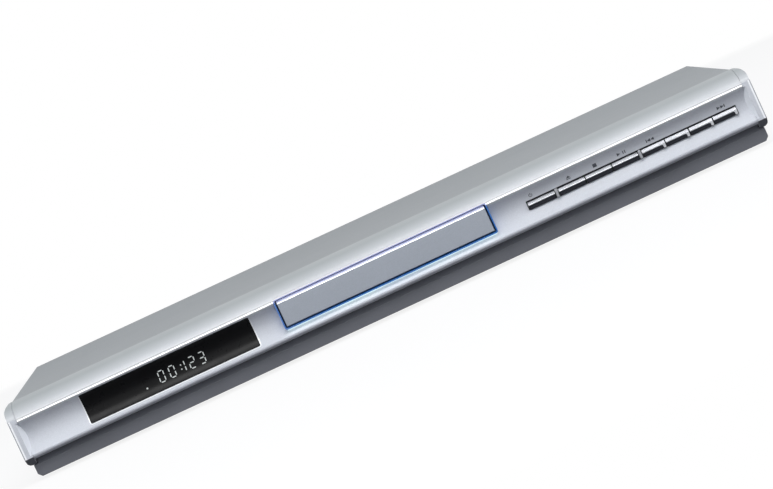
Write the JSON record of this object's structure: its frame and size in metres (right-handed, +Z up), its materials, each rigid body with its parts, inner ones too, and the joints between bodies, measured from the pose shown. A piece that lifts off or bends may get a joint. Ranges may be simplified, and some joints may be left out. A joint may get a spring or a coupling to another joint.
{
  "type": "disc player",
  "caption": "Slim silver full-width disc player with a motor-driven tray, concave front, display window, lit tray surround and a row of chrome buttons.",
  "frame": {"origin": "bottom centre of the player's bounding box, on the surface under its feet", "axes": "+X along the front towards the right end seen from the front, +Y to the rear, +Z up"},
  "size_m": [0.435, 0.244, 0.044],
  "materials": {
    "cover_paint": "satin silver paint on sheet steel",
    "front_paint": "satin silver paint on moulded plastic",
    "skirt_grey": "dark grey moulded plastic",
    "sheet_steel": "zinc plated sheet",
    "panel_paint": "dark grey painted sheet",
    "foot_rubber": "black rubber",
    "screw_steel": "bright plated steel",
    "smoked_window": "smoked near-black acrylic",
    "display_glass": "dark glass over lit digits",
    "board_green": "green circuit board",
    "board_brown": "brown paper board",
    "light_guide": "blue translucent light guide",
    "button_chrome": "chromed plastic",
    "part_black": "black moulded plastic",
    "transformer_core": "varnished laminations",
    "capacitor_sleeve": "dark blue sleeve",
    "sink_aluminium": "plain aluminium extrusion",
    "ribbon_white": "white ribbon and connectors",
    "pin_metal": "nickel plated pins",
    "phono_gold": "gold plated shells",
    "loader_plastic": "black moulded plastic",
    "tray_plastic": "dark grey moulded plastic",
    "lid_metal": "fine satin grey-silver paint",
    "motor_steel": "plated motor can",
    "gear_plastic": "natural white acetal",
    "turntable_black": "black hub with a rubber seat",
    "sled_casting": "die-cast carriage",
    "lens_black": "black carrier with a clear lens"
  },
  "bodies": {
    "case": {"top_cover": "cover_paint", "front_fascia": "front_paint", "left_end_cap": "front_paint", "right_end_cap": "front_paint", "lower_skirt": "skirt_grey", "bottom_chassis": "sheet_steel", "clamp_bridge": "sheet_steel", "rear_panel": "panel_paint", "feet": "foot_rubber", "drive_belt": "foot_rubber", "case_screws": "screw_steel", "display_window": "smoked_window", "display_tube": "display_glass", "display_board": "board_green", "ring_light_board": "board_green", "key_board": "board_green", "main_board": "board_green", "power_board": "board_brown", "tray_light_ring": "light_guide", "button_dividers": "button_chrome", "key_switches": "part_black", "main_chips": "part_black", "mains_inlet": "part_black", "phono_block": "part_black", "s_video_socket": "part_black", "optical_socket": "part_black", "power_transformer": "transformer_core", "power_capacitors": "capacitor_sleeve", "heat_sink": "sink_aluminium", "ribbon_cables": "ribbon_white", "inlet_pins": "pin_metal", "phono_shells": "phono_gold", "loader_frame": "loader_plastic", "tray_motor": "motor_steel"},
    "tray": {"disc_tray": "tray_plastic", "tray_lid": "lid_metal"},
    "drive_gear_body": {"drive_gear": "gear_plastic"},
    "pulley_gear_body": {"pulley_gear": "gear_plastic"},
    "motor_pulley_body": {"motor_pulley": "gear_plastic"},
    "cam": {"cam_slider": "gear_plastic"},
    "traverse": {"lift_frame": "loader_plastic", "traverse_plate": "sheet_steel", "damper_bushes": "foot_rubber", "damper_screws": "screw_steel", "spindle_motor": "motor_steel", "guide_rods": "screw_steel", "feed_motor": "motor_steel"},
    "turntable_body": {"turntable": "turntable_black"},
    "sled": {"pickup_sled": "sled_casting"},
    "lens": {"lens_carrier": "lens_black"},
    "feed_screw_body": {"feed_screw": "screw_steel"},
    "clamper_body": {"clamper": "gear_plastic"},
    "standby": {"standby_button": "button_chrome"},
    "eject": {"eject_button": "button_chrome"},
    "stop": {"stop_button": "button_chrome"},
    "play": {"play_button": "button_chrome"},
    "previous": {"previous_button": "button_chrome"},
    "slow": {"slow_button": "button_chrome"},
    "fast": {"fast_button": "button_chrome"},
    "next": {"next_button": "button_chrome"}
  },
  "joints": [
    {"name": "tray_slide", "type": "slide", "parent": "case", "child": "tray", "axis": [0, -1, 0], "range_m": [0, 0.13]},
    {"name": "drive_gear_spin", "type": "hinge", "parent": "case", "child": "drive_gear_body", "pos_m": [0.04, -0.085, 0.012], "axis": [0, 0, 1], "range_deg": [-934, 0]},
    {"name": "pulley_gear_spin", "type": "hinge", "parent": "case", "child": "pulley_gear_body", "pos_m": [0.024, -0.085, 0.012], "axis": [0, 0, 1], "range_deg": [0, 2175]},
    {"name": "motor_pulley_spin", "type": "hinge", "parent": "case", "child": "motor_pulley_body", "pos_m": [-0.014, -0.085, 0.017], "axis": [0, 0, 1], "range_deg": [0, 8519]},
    {"name": "traverse_lift", "type": "hinge", "parent": "case", "child": "traverse", "pos_m": [0, 0.036, 0.0123], "axis": [1, 0, 0], "range_deg": [0, 3]},
    {"name": "cam_slide", "type": "slide", "parent": "case", "child": "cam", "axis": [1, 0, 0], "range_m": [0, 0.0161]},
    {"name": "turntable_spin", "type": "hinge", "parent": "traverse", "child": "turntable_body", "pos_m": [0, -0.051, 0.0252], "axis": [0, 0, 1], "continuous": true},
    {"name": "clamper_spin", "type": "hinge", "parent": "case", "child": "clamper_body", "pos_m": [0, -0.051, 0.03], "axis": [0, 0, 1], "continuous": true},
    {"name": "sled_slide", "type": "slide", "parent": "traverse", "child": "sled", "axis": [0, 1, 0], "range_m": [0, 0.034]},
    {"name": "feed_screw_spin", "type": "hinge", "parent": "traverse", "child": "feed_screw_body", "pos_m": [-0.028, -0.022, 0.0169], "axis": [0, 1, 0], "range_deg": [0, 4083]},
    {"name": "lens_focus", "type": "slide", "parent": "sled", "child": "lens", "axis": [0, 0, 1], "range_m": [-0.0003, 0.0003], "stiffness_N_per_m": 100},
    {"name": "standby_press", "type": "slide", "parent": "case", "child": "standby", "axis": [0, 1, 0], "range_m": [0, 0.0006], "stiffness_N_per_m": 800},
    {"name": "eject_press", "type": "slide", "parent": "case", "child": "eject", "axis": [0, 1, 0], "range_m": [0, 0.0006], "stiffness_N_per_m": 800},
    {"name": "stop_press", "type": "slide", "parent": "case", "child": "stop", "axis": [0, 1, 0], "range_m": [0, 0.0006], "stiffness_N_per_m": 800},
    {"name": "play_press", "type": "slide", "parent": "case", "child": "play", "axis": [0, 1, 0], "range_m": [0, 0.0006], "stiffness_N_per_m": 800},
    {"name": "previous_press", "type": "slide", "parent": "case", "child": "previous", "axis": [0, 1, 0], "range_m": [0, 0.0006], "stiffness_N_per_m": 800},
    {"name": "slow_press", "type": "slide", "parent": "case", "child": "slow", "axis": [0, 1, 0], "range_m": [0, 0.0006], "stiffness_N_per_m": 800},
    {"name": "fast_press", "type": "slide", "parent": "case", "child": "fast", "axis": [0, 1, 0], "range_m": [0, 0.0006], "stiffness_N_per_m": 800},
    {"name": "next_press", "type": "slide", "parent": "case", "child": "next", "axis": [0, 1, 0], "range_m": [0, 0.0006], "stiffness_N_per_m": 800}
  ],
  "couplings": [
    {"joint": "drive_gear_spin", "follows": "tray_slide", "rad_per_m": -125},
    {"joint": "pulley_gear_spin", "follows": "tray_slide", "rad_per_m": 291.67},
    {"joint": "motor_pulley_spin", "follows": "tray_slide", "rad_per_m": 1143.3},
    {"joint": "cam_slide", "follows": "traverse_lift", "m_per_rad": 0.30558},
    {"joint": "clamper_spin", "follows": "turntable_spin", "ratio": 1},
    {"joint": "feed_screw_spin", "follows": "sled_slide", "rad_per_m": 2094.4}
  ]
}
